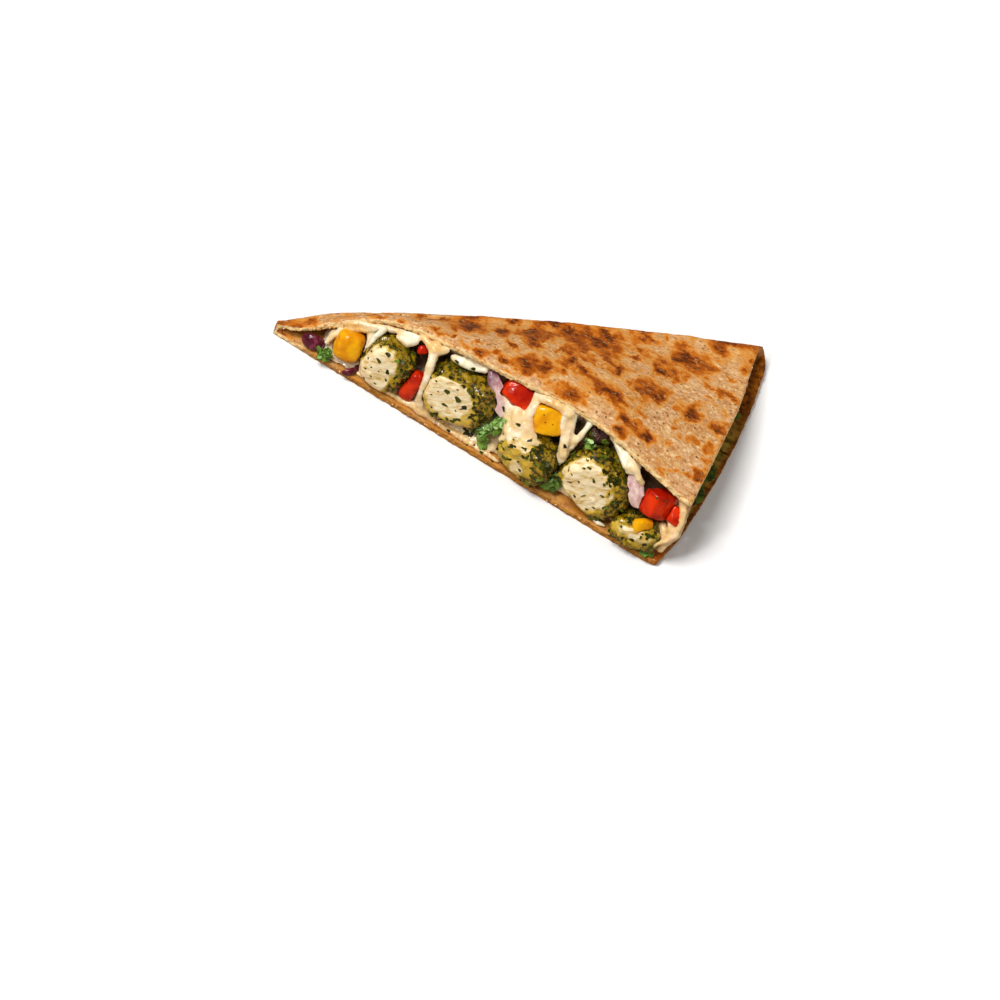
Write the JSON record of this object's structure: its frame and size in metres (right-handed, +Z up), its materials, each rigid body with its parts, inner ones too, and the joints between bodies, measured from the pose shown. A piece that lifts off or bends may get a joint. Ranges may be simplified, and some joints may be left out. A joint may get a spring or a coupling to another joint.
{
  "type": "quesadilla",
  "caption": "Toasted wholemeal quesadilla wedge, folded over herbed chicken, sweet pepper, red onion, leaves and melted cheese, open along its cut.",
  "frame": {"origin": "under the middle of the wedge's bounding box, on the table", "axes": "+X along the cut from the thin tip to the wide side, +Y from the cut to the fold, +Z up"},
  "size_m": [0.152, 0.1016, 0.0329],
  "materials": {
    "toasted_tortilla": "dry toasted wholemeal, browned in spots",
    "cheese": "glossy melted cheese",
    "herbed_chicken": "moist roast chicken in green herbs",
    "yellow_pepper": "wet glossy",
    "red_pepper": "wet glossy",
    "red_onion": "soft, wet, slightly translucent",
    "parsley": "fresh leaf",
    "spinach": "wilted leaf"
  },
  "bodies": {
    "root": {"tortilla": "toasted_tortilla", "melted_cheese": "cheese", "chicken_1": "herbed_chicken", "chicken_2": "herbed_chicken", "chicken_3": "herbed_chicken", "chicken_4": "herbed_chicken", "chicken_5": "herbed_chicken", "chicken_6": "herbed_chicken", "yellow_pepper_1": "yellow_pepper", "yellow_pepper_2": "yellow_pepper", "yellow_pepper_3": "yellow_pepper", "red_pepper_1": "red_pepper", "red_pepper_2": "red_pepper", "red_pepper_3": "red_pepper", "red_pepper_4": "red_pepper", "red_pepper_5": "red_pepper", "red_onion_1": "red_onion", "red_onion_2": "red_onion", "red_onion_3": "red_onion", "red_onion_4": "red_onion", "parsley_1": "parsley", "parsley_2": "parsley", "parsley_3": "parsley", "parsley_4": "parsley", "parsley_5": "parsley", "parsley_6": "parsley", "parsley_7": "parsley", "parsley_8": "parsley", "spinach_1": "spinach", "spinach_2": "spinach", "spinach_3": "spinach"}
  },
  "joints": []
}
